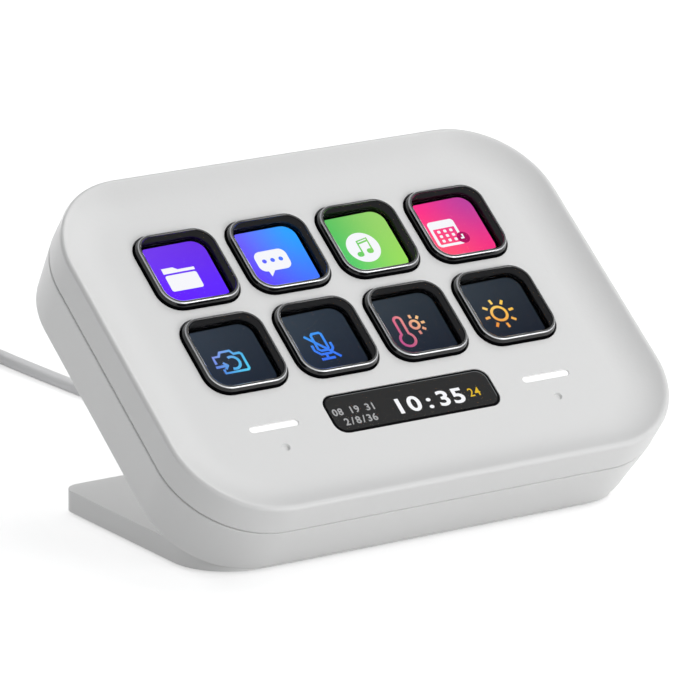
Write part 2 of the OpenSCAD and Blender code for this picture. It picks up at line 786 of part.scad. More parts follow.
module plug_shell() color("white") translate(plug_at) rotate([90, 0, 0]) {
  layer(0, plug_l) round_rect(plug_w, plug_h, plug_h / 2 - 0.01);
}

module plug_contact() color("silver") translate([plug_at[0], plug_at[1] - plug_l, plug_at[2]])
  rotate([90, 0, 0]) layer(0, contact_l) round_rect(contact_w, contact_h, contact_h / 2 - 0.01);

// ---- Nodes ----

front_shell();
rear_shell();
for (i = [0 : columns * rows - 1]) {
  key_frame(i);
  key_lens(i);
}
key_guide();
dome_mat();
display_panel();
display_backlight();
display_carrier();
info_window();
info_display();
light_bar(-1);  // light_bar_left
light_bar(1);  // light_bar_right
touch_pad(-1);  // touch_pad_left
touch_pad(1);  // touch_pad_right
main_board();
board_chips();
board_leds();
lead_socket();
inner_lead();
lead_clamp();
display_ribbon();
info_ribbon();
shell_screws();
board_screws();
stand_screws();
stand();
foot_weight();
foot_sole();
strain_relief();
cord();
cord_coil();
cord_tail();
plug_shell();
plug_contact();
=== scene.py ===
"""The looks of a desk keypad with eight picture keys, built round its fixed frame."""

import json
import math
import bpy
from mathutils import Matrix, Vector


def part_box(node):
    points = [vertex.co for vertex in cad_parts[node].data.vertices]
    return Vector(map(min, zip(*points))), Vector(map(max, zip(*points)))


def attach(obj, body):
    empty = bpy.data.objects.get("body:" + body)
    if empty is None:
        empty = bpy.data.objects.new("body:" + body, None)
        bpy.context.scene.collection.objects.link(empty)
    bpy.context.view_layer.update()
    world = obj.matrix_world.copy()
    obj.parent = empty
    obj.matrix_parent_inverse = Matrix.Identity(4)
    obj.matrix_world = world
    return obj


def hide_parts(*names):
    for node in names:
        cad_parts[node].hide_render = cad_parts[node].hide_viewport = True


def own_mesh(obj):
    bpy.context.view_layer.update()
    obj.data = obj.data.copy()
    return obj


bl_info = {
    "name": "Picture keypad",
    "version": (1, 0, 0),
    "blender": (4, 5, 0),
    "location": "View3D > Sidebar > Keypad",
    "description": "Makes the looks of a desk keypad with eight picture keys round its fixed frame",
    "category": "Object",
}

import bmesh
import bpy
from bmesh.types import BMEdge, BMVert
from bpy.props import FloatProperty, FloatVectorProperty, IntProperty, PointerProperty, StringProperty
from bpy.types import Operator, Panel, PropertyGroup
from mathutils import Matrix, Vector

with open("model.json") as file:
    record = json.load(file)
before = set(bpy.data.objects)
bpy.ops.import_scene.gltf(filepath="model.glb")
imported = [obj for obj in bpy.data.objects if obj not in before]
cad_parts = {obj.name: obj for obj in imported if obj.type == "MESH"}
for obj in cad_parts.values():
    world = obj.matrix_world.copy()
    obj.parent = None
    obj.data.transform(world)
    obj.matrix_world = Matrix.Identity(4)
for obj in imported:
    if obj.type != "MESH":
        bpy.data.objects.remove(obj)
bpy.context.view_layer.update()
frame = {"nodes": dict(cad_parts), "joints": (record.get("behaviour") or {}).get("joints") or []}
MM = 0.001


# ---- Where things are ----

PANEL_MIDDLE = Vector((0, 7.5, -4.45))  # of the display panel's box, in millimetres on the face


def read_face():
    """The face's own frame in metres: X along the keys, Y up the face, Z out of it."""
    axis = next(Vector(joint["axis"]) for joint in frame["joints"] if joint["name"] == "key_1_press")
    lean = Matrix.Rotation(math.atan2(axis.y, -axis.z), 4, "X")
    low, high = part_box("display_panel")
    return Matrix.Translation((low + high) / 2 - lean @ (PANEL_MIDDLE * MM)) @ lean


FACE = read_face()


def on_face(node):
    """The middle of a node's box, in millimetres in the face's frame."""
    low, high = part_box(node)
    return (FACE.inverted() @ ((low + high) / 2)) / MM


def from_face(x, y, z):
    """A place given in millimetres on the face, in metres in the object's frame."""
    return FACE @ (Vector((x, y, z)) * MM)


KEY_CENTRES = {n: on_face(f"key_frame_{n}").xy for n in range(1, 9)}

# Heights over the flat of the face, in millimetres
CREST_N = 2.2
RIM_N = 1.4  # middle of the rim's rounding
DIGITS_N = -0.31
UNDER_N = -1.4  # underside of the front shell
KEY_FOOT_N = -2.4
SKIRT_N = -2.42  # top of a dome ring
MAT_N = -3.45  # top of the mat
PANEL_N = -3.85
SIGN_N = PANEL_N + 0.13
PART_N = -4.7  # parting groove
BOSS_N = -9.1  # end of a screw boss
FLOOR_N = -14.6  # inside of the rear shell
BACK_N = -16.6

# Sizes and places on the face, in millimetres
DISH_START = 9.5  # in from the edge, where the flat turns up into the dish
DISH_RUN = 8.5  # from there to the rim
DISH_RADIUS = 17.52
RIM_ROUND = 0.8
GROOVE = 0.6  # depth of the parting groove
KEY_OPENING = (17.8, 17.8)
BAR_OPENING = (36.2, 8.8)
BAR_STEP = (36.0, 8.6)  # the window where it stands in its opening
BAR_SCREEN = (35.3, 7.9)
BAR_CORNER = 2.05
BAR_MIDDLE = (0, -19.3)
LIGHT_OPENING = (10.3, 1.4)
LIGHT_SPOTS = ((-29.75, -19.3), (29.75, -19.3))
DIMPLE_SPOTS = ((-29.75, -24.2), (29.75, -24.2))
SCREW_SPOTS = ((-44.3, 29.8), (44.3, 29.8))
LEAD_SPOT = (0, 10)
PICTURE = (14.6, 14.6)


# ---- Sizes and colours a user would change ----


class KEYPAD_PG_housing(PropertyGroup):
    """Sizes and colour of the white housing."""

    width: FloatProperty(name="Width", description="Width of the face in mm", default=107.0)
    height: FloatProperty(name="Height", description="Height of the face in mm", default=78.0)
    corner: FloatProperty(name="Corner", description="Corner radius of the face in mm", default=18.0)
    opening_edge: FloatProperty(name="Edge", description="Rounding of the openings in mm", default=0.12)
    colour: FloatVectorProperty(
        name="Colour", description="Colour of the white plastic", subtype="COLOR", default=(0.83, 0.83, 0.825)
    )


class KEYPAD_PG_keys(PropertyGroup):
    """Sizes and colours of the keys."""

    size: FloatProperty(name="Size", description="Side of a key at its foot in mm", default=17.2)
    corner: FloatProperty(name="Corner", description="Corner radius of a key at its foot in mm", default=4.3)
    proud: FloatProperty(name="Height", description="Height of a key over the face in mm", default=1.3)
    edge: FloatProperty(name="Edge", description="Rounding of a key's rim in mm", default=0.26)
    lens: FloatProperty(name="Lens", description="Side of a key's lens in mm", default=15.3)
    colour: FloatVectorProperty(
        name="Colour", description="Colour of the black keys", subtype="COLOR", default=(0.006, 0.006, 0.007)
    )


class KEYPAD_PG_lead(PropertyGroup):
    """Sizes of the lead."""

    diameter: FloatProperty(
        name="Diameter", description="Diameter of the lead", unit="LENGTH", default=0.0028
    )
    turn: FloatProperty(name="Turn", description="Middle radius of the coil", unit="LENGTH", default=0.0168)
    columns: IntProperty(name="Columns", description="Turns side by side in the coil", default=3)
    layers: IntProperty(name="Layers", description="Layers of turns in the coil", default=4)


class KEYPAD_PG_numbers(PropertyGroup):
    """Plain numbers on the display bar."""

    clock: StringProperty(name="Clock", description="Large number in the middle", default="10:35")
    upper: StringProperty(name="Upper", description="Small number at the upper left", default="08 19 31")
    lower: StringProperty(name="Lower", description="Small number at the lower left", default="2/8/36")
    right: StringProperty(name="Right", description="Small number at the right", default="24")


# ---- Mesh helpers ----

CLOSE = 2e-3  # vertices nearer than this, in millimetres, become one
TINY = 1e-6


def arc(x, z, radius, start=0, end=360, steps=20):
    """Points of a circle or an arc round (x, z), from one angle to another, in degrees."""
    turns = [math.radians(start + (end - start) * i / steps) for i in range(steps + 1)]
    return [(x + radius * math.cos(t), z + radius * math.sin(t)) for t in turns]


def soften(a, b, c, steps):
    """Points that round the corner b between a and c."""
    shares = [i / steps for i in range(steps + 1)]
    return [
        tuple((1 - t) ** 2 * p + 2 * t * (1 - t) * q + t * t * r for p, q, r in zip(a, b, c))
        for t in shares
    ]


def pick(geometry, kind):
    return [g for g in geometry if isinstance(g, kind)]


def carry_round(bm, profile, size, radius, centre=(0, 0), steps=10, closed=False):
    """Carries a profile round a rectangle with round corners; its x counts from a corner's centre."""
    reach_x = size[0] / 2 - radius
    reach_y = size[1] / 2 - radius
    verts = [bm.verts.new((centre[0] + reach_x + x, centre[1] - reach_y, z)) for x, z in profile]
    edges = [bm.edges.new(pair) for pair in zip(verts, verts[1:])]
    if closed:
        edges.append(bm.edges.new((verts[-1], verts[0])))
    runs = ((0, 2 * reach_y), (-2 * reach_x, 0), (0, -2 * reach_y), (2 * reach_x, 0))
    corners = ((reach_x, reach_y), (-reach_x, reach_y), (-reach_x, -reach_y), (reach_x, -reach_y))
    for run, corner in zip(runs, corners):
        if Vector(run).length > TINY:
            grown = bmesh.ops.extrude_edge_only(bm, edges=edges)["geom"]
            front = set(pick(grown, BMVert))
            bmesh.ops.translate(bm, verts=list(front), vec=(*run, 0))
            edges = [e for e in pick(grown, BMEdge) if all(v in front for v in e.verts)]
        front = list({v for e in edges for v in e.verts})
        pivot = (centre[0] + corner[0], centre[1] + corner[1], 0)
        turned = bmesh.ops.spin(
            bm, geom=front + edges, cent=pivot, axis=(0, 0, 1), angle=math.pi / 2, steps=steps
        )
        edges = pick(turned["geom_last"], BMEdge)


def merge(bm):
    bmesh.ops.remove_doubles(bm, verts=bm.verts, dist=CLOSE)


def fill_flat(bm, height):
    """Fills the flat between the open loops at one height, leaving the openings free."""
    loops = [
        e for e in bm.edges if e.is_boundary and all(abs(v.co.z - height) < CLOSE / 2 for v in e.verts)
    ]
    bmesh.ops.triangle_fill(bm, use_beauty=True, edges=loops, normal=(0, 0, 1))


def close_shell(bm, *heights):
    """Joins a shell's walls by its flats at some heights, and turns its faces outwards."""
    merge(bm)
    for height in heights:
        fill_flat(bm, height)
    bmesh.ops.recalc_face_normals(bm, faces=bm.faces)


def add_part(bm, part, material=0):
    """Adds one bmesh to another, its faces outwards and in one of the piece's materials."""
    bmesh.ops.recalc_face_normals(part, faces=part.faces)
    for face in part.faces:
        face.material_index = material
    carrier = bpy.data.meshes.new("part")
    part.to_mesh(carrier)
    part.free()
    bm.from_mesh(carrier)
    bpy.data.meshes.remove(carrier)


def hoop(bm, section, size, radius, centre, steps=8, material=0):
    """A closed section carried round a rectangle with round corners."""
    part = bmesh.new()
    carry_round(part, section, size, radius, centre, steps, closed=True)
    merge(part)
    add_part(bm, part, material)


def plate(bm, size, radius, low, high, centre=(0, 0), edge=0.0, steps=6, material=0):
    """A plate with round corners and, where asked, a rounded edge at its top."""
    part = bmesh.new()
    top = arc(radius - edge, high - edge, edge, 90, 0, 3) if edge else [(radius, high)]
    carry_round(part, top + [(radius, low)], size, radius, centre, steps)
    merge(part)
    bmesh.ops.holes_fill(part, edges=[e for e in part.edges if e.is_boundary], sides=0)
    add_part(bm, part, material)


def rod(bm, profile, centre):
    """A round piece turned from a closed profile of (radius, height) points."""
    part = bmesh.new()
    verts = [part.verts.new((centre[0] + x, centre[1], z)) for x, z in profile]
    edges = [part.edges.new(pair) for pair in zip(verts, verts[1:])]
    bmesh.ops.spin(
        part, geom=verts + edges, cent=(*centre, 0), axis=(0, 0, 1), angle=2 * math.pi, steps=32,
        use_merge=True,
    )
    merge(part)
    add_part(bm, part)


def shape(bm, outline, centre, low, high):
    """A flat shape with a straight side, drawn by its outline."""
    part = bmesh.new()
    face = part.faces.new([part.verts.new((centre[0] + x, centre[1] + y, low)) for x, y in outline])
    grown = bmesh.ops.extrude_face_region(part, geom=[face], use_keep_orig=True)["geom"]
    bmesh.ops.translate(part, verts=pick(grown, BMVert), vec=(0, 0, high - low))
    add_part(bm, part)


def drawn_part(curve):
    """A curve's shape as a bmesh; the curve is used up."""
    holder = bpy.data.objects.new("drawing", curve)
    part = bmesh.new()
    part.from_mesh(holder.to_mesh())
    holder.to_mesh_clear()
    bpy.data.objects.remove(holder)
    bpy.data.curves.remove(curve)
    merge(part)
    return part


STROKE_TALL = 0.03  # thickness of a stroke, in millimetres
SIGN_FIT = (1.8, 1.4)  # scale of the font for a pitch and a height of 1


def strokes(bm, lines, width, height, centre=(0, 0), material=0):
    """Flat strokes of even width along lines; a line whose ends meet is closed."""
    curve = bpy.data.curves.new("strokes", "CURVE")
    curve.dimensions = "3D"
    curve.bevel_depth = width / 2
    curve.bevel_resolution = 2
    curve.use_fill_caps = True
    for line in lines:
        closed = (Vector(line[0]) - Vector(line[-1])).length < TINY
        points = line[:-1] if closed else line
        spline = curve.splines.new("POLY")
        spline.points.add(len(points) - 1)
        spline.use_cyclic_u = closed
        for spot, (x, y) in zip(spline.points, points):
            spot.co = (centre[0] + x, centre[1] + y, 0, 1)
    part = drawn_part(curve)
    bmesh.ops.scale(part, verts=part.verts, vec=(1, 1, STROKE_TALL / width))
    bmesh.ops.translate(part, verts=part.verts, vec=(0, 0, height))
    add_part(bm, part, material)


def digits(bm, text, left, right, base, tall, bold, material):
    """Plain numbers at an even pitch between two edges, on a base line, as a thin mesh."""
    pitch = (right - left) / len(text)
    for spot, sign in enumerate(text):
        curve = bpy.data.curves.new("digit", "FONT")
        curve.body = sign
        curve.extrude = 0.01
        curve.offset = bold
        curve.resolution_u = 4
        part = drawn_part(curve)
        xs = [v.co.x for v in part.verts] or [0]
        middle = (min(xs) + max(xs)) / 2
        bmesh.ops.translate(part, verts=part.verts, vec=(-middle, 0, 0))
        bmesh.ops.scale(part, verts=part.verts, vec=(pitch * SIGN_FIT[0], tall * SIGN_FIT[1], 1))
        place = (left + (spot + 0.5) * pitch, base, DIGITS_N)
        bmesh.ops.translate(part, verts=part.verts, vec=place)
        add_part(bm, part, material)


def make_object(name, bm, materials):
    """A new object in the scene from a bmesh, which is used up."""
    mesh = bpy.data.meshes.new(name)
    bm.to_mesh(mesh)
    bm.free()
    for material in materials:
        mesh.materials.append(material)
    made = bpy.data.objects.new(name, mesh)
    bpy.context.scene.collection.objects.link(made)
    return made


def make_piece(name, bm, materials, stands_for=(), body="housing", place=FACE, sharp=34):
    """Turns a bmesh in millimetres into a finished piece that rides on a body."""
    bmesh.ops.transform(bm, matrix=place @ Matrix.Scale(MM, 4), verts=bm.verts)
    for face in bm.faces:
        face.smooth = True
    for edge in bm.edges:
        if len(edge.link_faces) != 2 or edge.calc_face_angle(0) > math.radians(sharp):
            edge.smooth = False
    piece = make_object(name, bm, materials)
    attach(piece, body)
    if stands_for:
        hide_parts(*stands_for)
    return piece


def refine_node(node, name, material, edge):
    """A piece in a node's place: a merged copy of its mesh with softened edges."""
    bm = bmesh.new()
    bm.from_mesh(frame["nodes"][node].data)
    bmesh.ops.scale(bm, verts=bm.verts, vec=(1 / MM,) * 3)
    merge(bm)
    bmesh.ops.dissolve_limit(
        bm, angle_limit=math.radians(0.6), verts=bm.verts, edges=bm.edges, use_dissolve_boundaries=False
    )
    corners = [e for e in bm.edges if len(e.link_faces) == 2 and e.calc_face_angle(0) > math.radians(40)]
    bmesh.ops.bevel(
        bm, geom=corners, offset=edge, offset_type="OFFSET", segments=3, profile=0.5, affect="EDGES",
        clamp_overlap=True, material=-1,
    )
    make_piece(name, bm, [material], [node], place=Matrix.Identity(4))


# ---- Materials ----

WHITE = (1, 1, 1, 1)


def wire(tree, node, *inputs, **values):
    """Gives a node its properties and inputs, in order or by name; an output given is linked."""
    sockets = list(zip(node.inputs, inputs))
    for name, value in values.items():
        if hasattr(node, name):
            setattr(node, name, value)
        else:
            sockets.append((node.inputs[name.replace("_", " ")], value))
    for socket, value in sockets:
        if isinstance(value, bpy.types.NodeSocket):
            tree.links.new(value, socket)
        else:
            socket.default_value = value
    return node


def add_node(tree, kind, *inputs, **values):
    """Adds a shader node with its properties and inputs."""
    return wire(tree, tree.nodes.new(f"ShaderNode{kind}"), *inputs, **values)


def reckon(tree, operation, *inputs, use_clamp=False):
    """Adds a Math node and gives its result."""
    return add_node(tree, "Math", *inputs, operation=operation, use_clamp=use_clamp).outputs[0]


def blend(tree, share, first, second):
    """Adds a node that blends two colours and gives its result."""
    return add_node(tree, "Mix", data_type="RGBA", Factor=share, A=first, B=second).outputs["Result"]


def new_group(name, inputs, outputs):
    """A node group with named float, colour or vector sockets, and its two end nodes."""
    group = bpy.data.node_groups.new(name, "ShaderNodeTree")
    kinds = {"f": "NodeSocketFloat", "c": "NodeSocketColor", "v": "NodeSocketVector"}
    for in_out, sockets in (("INPUT", inputs), ("OUTPUT", outputs)):
        for label, kind in sockets.items():
            group.interface.new_socket(label, in_out=in_out, socket_type=kinds[kind])
    return group, group.nodes.new("NodeGroupInput").outputs, group.nodes.new("NodeGroupOutput")


def shared_group(name, build):
    """A node group, built the first time that it is asked for."""
    return bpy.data.node_groups.get(name) or build(name)


def grain_group(name):
    """Fine moulded grain: a roughness that varies and a height for a bump."""
    inputs = {"Vector": "v", "Scale": "f", "Roughness": "f", "Spread": "f"}
    group, given, end = new_group(name, inputs, {"Roughness": "f", "Height": "f"})
    fine = add_node(
        group, "TexNoise", Vector=given["Vector"], Scale=given["Scale"], Detail=4.0, Roughness=0.6
    ).outputs["Fac"]
    broad = add_node(group, "TexNoise", Vector=given["Vector"], Scale=35.0, Detail=3.0)
    half = reckon(group, "MULTIPLY", broad.outputs["Fac"], 0.5)
    mixed = reckon(group, "MULTIPLY_ADD", fine, 0.5, half)
    centred = reckon(group, "SUBTRACT", mixed, 0.5)
    rough = reckon(group, "MULTIPLY_ADD", centred, given["Spread"], given["Roughness"], use_clamp=True)
    wire(group, end, Roughness=rough, Height=fine)
    return group


def mottle_group(name):
    """A colour that drifts a little over the surface, with specks of dust."""
    inputs = {"Vector": "v", "Colour": "c", "Tone": "c", "Dust": "c", "Dust share": "f"}
    group, given, end = new_group(name, inputs, {"Colour": "c"})
    drift = add_node(group, "TexNoise", Vector=given["Vector"], Scale=22.0, Detail=3.0)
    specks = add_node(group, "TexNoise", Vector=given["Vector"], Scale=1500.0, Detail=2.0)
    ramp = add_node(group, "MapRange", Value=specks.outputs["Fac"], From_Min=0.62, From_Max=0.78)
    share = reckon(group, "MULTIPLY", ramp.outputs["Result"], given["Dust share"], use_clamp=True)
    toned = blend(group, drift.outputs["Fac"], given["Colour"], given["Tone"])
    wire(group, end, Colour=blend(group, share, toned, given["Dust"]))
    return group


def shade(colour, factor=1.0):
    return tuple(min(1.0, c * factor) for c in colour[:3]) + (1.0,)


def finish_material(
    name, colour, roughness=0.5, spread=0.1, grain=900.0, depth=2e-5, tone=0.96, dust=0.0,
    dust_colour=(0.6, 0.6, 0.58), **constants,
):
    """A material with drifting colour, fine grain in its gloss and a bump; constants go on the shader.

    The roughness varies by its spread; grain is the pattern's scale, depth the bump's in metres, tone the
    darkest share of the colour, and dust the share of the specks.
    """
    if name in bpy.data.materials:
        return bpy.data.materials[name]
    material = bpy.data.materials.new(name)
    material.use_nodes = True
    tree = material.node_tree
    where = add_node(tree, "TexCoord").outputs["Object"]
    colours = add_node(
        tree, "Group", node_tree=shared_group("Mottle", mottle_group), Vector=where,
        Colour=shade(colour), Tone=shade(colour, tone), Dust=shade(dust_colour), Dust_share=dust,
    )
    gloss = add_node(
        tree, "Group", node_tree=shared_group("Moulded grain", grain_group), Vector=where,
        Scale=grain, Roughness=roughness, Spread=spread,
    )
    bump = add_node(tree, "Bump", Strength=0.5, Distance=depth, Height=gloss.outputs["Height"])
    wire(
        tree, tree.nodes["Principled BSDF"], Base_Color=colours.outputs["Colour"],
        Roughness=gloss.outputs["Roughness"], Normal=bump.outputs["Normal"], **constants,
    )
    return material


FINISHES = {
    "Amber ribbon": dict(colour=(0.55, 0.26, 0.05), roughness=0.35, depth=1e-5),
    # Painted sheen: a key's upright outer side is grey rather than black, standing for the light that its
    # gloss reflects
    "Black key side painted sheen": dict(colour=(0.1, 0.1, 0.095), roughness=0.22, grain=700.0, depth=4e-6, tone=0.8),
    "Black rubber sole": dict(
        colour=(0.02, 0.02, 0.02), roughness=0.8, spread=0.15, grain=1400.0, depth=8e-5, tone=0.85, dust=0.1
    ),
    "Black silicone": dict(colour=(0.012, 0.012, 0.013), roughness=0.6, depth=1e-5),
    "Black glossy plastic": dict(
        roughness=0.11, spread=0.08, grain=700.0, depth=4e-6, tone=0.8, dust=0.04,
        dust_colour=(0.05, 0.05, 0.05), IOR=1.5, Coat_Weight=0.3, Coat_Roughness=0.05,
    ),
    # Painted shade: a dull black with no reflection on a key's side below its shoulder, standing for the
    # shadow in the gap round its foot
    "Painted gap shade": dict(
        colour=(0.003, 0.003, 0.004), roughness=0.8, grain=800.0, depth=1e-5, Specular_IOR_Level=0.0
    ),
    "Board": dict(
        colour=(0.01, 0.09, 0.04), roughness=0.35, spread=0.15, grain=500.0, depth=1e-5, tone=0.8,
        Coat_Weight=0.4,
    ),
    # Painted highlight: a bright silver metal band on a key's rim, standing for the light that the clear
    # cap's edge catches; its reflections are real
    "Key rim painted highlight": dict(
        colour=(0.72, 0.73, 0.75), roughness=0.3, depth=4e-6, tone=0.9, Metallic=0.85
    ),
    "Chip package": dict(colour=(0.02, 0.02, 0.022), roughness=0.55, spread=0.15, grain=1500.0),
    "Copper film": dict(
        colour=(0.72, 0.36, 0.16), roughness=0.32, spread=0.15, grain=1200.0, depth=1e-5, Metallic=1.0
    ),
    "Cream socket": dict(colour=(0.62, 0.58, 0.48), depth=1e-5),
    "Dark inner plastic": dict(colour=(0.015, 0.015, 0.017), roughness=0.45, depth=1e-5),
    "Dark panel glass": dict(
        colour=(0.004, 0.004, 0.005), roughness=0.3, spread=0.05, grain=700.0, depth=2e-6, tone=0.8,
        Specular_IOR_Level=0.02,
    ),
    "Key lens": dict(
        colour=(0.97, 0.98, 1.0), roughness=0.02, spread=0.01, grain=600.0, depth=1e-6, tone=0.99,
        IOR=1.49, Specular_Tint=(0.02, 0.02, 0.02, 1), Transmission_Weight=1.0,
        Thin_Film_Thickness=115.0, Thin_Film_IOR=1.22,
    ),
    "Light guide": dict(
        colour=(0.9, 0.9, 0.9), roughness=0.3, depth=4e-6, tone=0.99, Emission_Color=WHITE,
        Emission_Strength=0.45,
    ),
    "Nickel plate": dict(
        colour=(0.62, 0.62, 0.61), roughness=0.28, spread=0.15, grain=1200.0, depth=1e-5, Metallic=1.0
    ),
    "White inner plastic": dict(colour=(0.7, 0.7, 0.69)),
    "White lead jacket": dict(
        colour=(0.83, 0.83, 0.835), spread=0.12, grain=1100.0, tone=0.97, dust=0.05, IOR=1.48
    ),
    "White moulded plastic": dict(
        roughness=0.38, spread=0.16, grain=1400.0, depth=3e-5, tone=0.985, dust=0.05,
        dust_colour=(0.55, 0.55, 0.53), IOR=1.46, Specular_IOR_Level=0.8,
    ),
    "Wire jacket": dict(colour=(0.35, 0.03, 0.03), roughness=0.45, depth=1e-5),
}


def finish(name, **more):
    """A finish of the list; the housing and the keys add the colour that the user sets."""
    return finish_material(name, **FINISHES[name], **more)


def white_plastic():
    return finish("White moulded plastic", colour=bpy.context.scene.keypad_housing.colour)


def linear(colour):
    """A colour given from 0 to 255, as light, with full opacity."""
    light = [(c / 255 / 12.92) if c < 10.3 else ((c / 255 + 0.055) / 1.055) ** 2.4 for c in colour]
    return (*light, 1)


def plain_lit(name, colour):
    """A dark surface that shines evenly in one colour."""
    return finish_material(
        name, (0.002, 0.002, 0.002), depth=4e-6, tone=0.97, Specular_IOR_Level=0.0,
        Emission_Color=linear(colour), Emission_Strength=1.0,
    )


CORNERS = ("Lower left", "Lower right", "Upper left", "Upper right")


def corner_group(name):
    """A picture's colour, blended from its four corners; the vector runs from -1 to 1 across it."""
    inputs = {"Vector": "v", **{corner: "c" for corner in CORNERS}}
    group, given, end = new_group(name, inputs, {"Colour": "c"})
    split = add_node(group, "SeparateXYZ", given["Vector"])
    across, up = (
        add_node(
            group, "MapRange", interpolation_type="SMOOTHSTEP", Value=split.outputs[axis],
            From_Min=-1.1, From_Max=1.1,
        ).outputs["Result"]
        for axis in ("X", "Y")
    )
    lower, upper = (
        blend(group, across, given[left], given[right]) for left, right in (CORNERS[:2], CORNERS[2:])
    )
    wire(group, end, Colour=blend(group, up, lower, upper))
    return group


def picture_material(name, centre, reach, corners, strength=1.0):
    """A lit picture whose colours run between the four corners of a square on the face."""
    material = bpy.data.materials.new(name)
    material.use_nodes = True
    tree = material.node_tree
    place = add_node(tree, "TexCoord")
    turn = add_node(
        tree, "Mapping", vector_type="TEXTURE", Vector=place.outputs["Object"],
        Location=from_face(*centre, PANEL_N), Rotation=FACE.to_euler(), Scale=(reach * MM,) * 3,
    )
    mix = add_node(tree, "Group", node_tree=shared_group("Corner blend", corner_group))
    wire(tree, mix, turn.outputs["Vector"], *[linear(colour) for colour in corners])
    wire(
        tree, tree.nodes["Principled BSDF"], Base_Color=(0.002, 0.002, 0.003, 1), Roughness=0.4,
        Specular_IOR_Level=0.0, Emission_Strength=strength, Emission_Color=mix.outputs["Colour"],
    )
    return material


# ---- The lead ----

# Route of the lead from the strain relief along the desk, in metres
LEAD_RUN = [
    (0, 0.0252, 0.0143), (0, 0.0281, 0.0106), (0, 0.0314, 0.007), (-0.0001, 0.0352, 0.0042),
    (-0.0004, 0.04, 0.0024), (-0.0009, 0.046, 0.0014), (-0.0017, 0.054, 0.0014),
    (-0.0027, 0.063, 0.0014), (-0.0038, 0.072, 0.0014), (-0.0047, 0.081, 0.0014),
    (-0.0055, 0.09, 0.0014), (-0.0061, 0.099, 0.0014), (-0.0066, 0.108, 0.0014),
    (-0.0069, 0.117, 0.0014), (-0.007, 0.126, 0.0014), (-0.007, 0.134, 0.0014),
]
RELIEF_LENGTH = 14  # from the housing's back to the strain relief's end, in millimetres
COIL_START = Vector((-0.007, 0.142, 0.0014))
LEAD_TAIL = [
    (-0.0462, 0.136, 0.0094), (-0.0462, 0.13, 0.008), (-0.0462, 0.124, 0.006),
    (-0.0462, 0.118, 0.0042), (-0.0462, 0.112, 0.0032), (-0.0462, 0.108, 0.003),
]

# How the coil is wound, in degrees
STEP_START = 290  # where the first turn steps over to the next
STEP_LENGTH = 60
STEP_BACK = 20  # how much sooner it steps where it goes from columns to layers or back
COIL_END = 180
COIL_PITCH = 15  # between two points


def coil_points(lead):
    """The coil's turns: columns wound inwards and outwards in turn, one layer on another."""
    step = lead.diameter
    outer = lead.turn + (lead.columns - 1) / 2 * step
    centre = COIL_START - Vector((outer, 0, 0))
    slots = []
    for layer in range(lead.layers):
        order = range(lead.columns) if layer % 2 == 0 else reversed(range(lead.columns))
        slots += [(outer - column * step, COIL_START.z + layer * step) for column in order]
    windows = []
    start = STEP_START
    for (_, z), (_, next_z) in zip(slots, slots[1:]):
        rises = next_z != z
        if windows and rises != windows[-1][1]:
            start -= STEP_BACK
        windows.append((start, rises))
    points = []
    last = (len(slots) - 1) * 360 + COIL_END
    for angle in range(0, last + 1, COIL_PITCH):
        turn, within = divmod(angle, 360)
        r, z = slots[turn]
        if turn < len(windows):
            share = min(1, max(0, (within - windows[turn][0]) / STEP_LENGTH))
            ease = share * share * (3 - 2 * share)
            r += (slots[turn + 1][0] - r) * ease
            z += (slots[turn + 1][1] - z) * ease
        turned = math.radians(angle)
        points.append((centre.x + r * math.cos(turned), centre.y + r * math.sin(turned), z))
    return points


class KEYPAD_OT_lead(Operator):
    """Makes the lead: out of its strain relief, along the desk and round its coil"""

    bl_idname = "keypad.lead"
    bl_label = "Lead"

    def execute(self, context):
        lead = context.scene.keypad_lead
        leave = from_face(*LEAD_SPOT, BACK_N - RELIEF_LENGTH)
        points = [tuple(leave)] + LEAD_RUN + coil_points(lead) + LEAD_TAIL
        curve = bpy.data.curves.new("lead", "CURVE")
        curve.dimensions = "3D"
        curve.bevel_depth = lead.diameter / 2
        curve.bevel_resolution = 3
        curve.resolution_u = 4
        curve.use_fill_caps = True
        spline = curve.splines.new("BEZIER")
        spline.bezier_points.add(len(points) - 1)
        for spot, point in zip(spline.bezier_points, points):
            spot.co = point
            spot.handle_left_type = "AUTO"
            spot.handle_right_type = "AUTO"
        cord = bpy.data.objects.new("lead", curve)
        context.scene.collection.objects.link(cord)
        curve.materials.append(finish("White lead jacket"))
        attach(cord, "housing")
        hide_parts("cord", "cord_coil", "cord_tail")
        return {"FINISHED"}


# ---- Housing ----


def band_profile(housing):
    """Section of the front shell's band from the flat of the face over the rim to its underside."""
    edge = housing.corner
    flat = edge - DISH_START
    top = math.degrees(math.asin(DISH_RUN / DISH_RADIUS))
    rise = arc(flat, DISH_RADIUS, DISH_RADIUS, -90, -90 + top, 14)[:-1]
    rim = arc(edge - RIM_ROUND, RIM_N, RIM_ROUND, 78, 0, 6)
    land = soften(rise[-1], (edge - 1.0, CREST_N), rim[0], 5)
    side = [
        (edge, PART_N + 0.35), (edge - 0.12, PART_N + 0.2), (edge - GROOVE, PART_N + 0.2),
        (edge - GROOVE, PART_N), (edge - 2, PART_N),
    ]
    under = arc(flat, DISH_RADIUS, DISH_RADIUS - UNDER_N, -90 + 23.35, -90, 8)
    return rise[:-1] + land[:-1] + rim + side + under


def make_cover(name, bm, node):
    """A white shell in a node's place, with its shading evened out."""
    cover = make_piece(name, bm, [white_plastic()], [node], sharp=30)
    even_out = cover.modifiers.new("even shading", "WEIGHTED_NORMAL")
    even_out.mode = "FACE_AREA"
    even_out.weight = 90
    even_out.keep_sharp = True


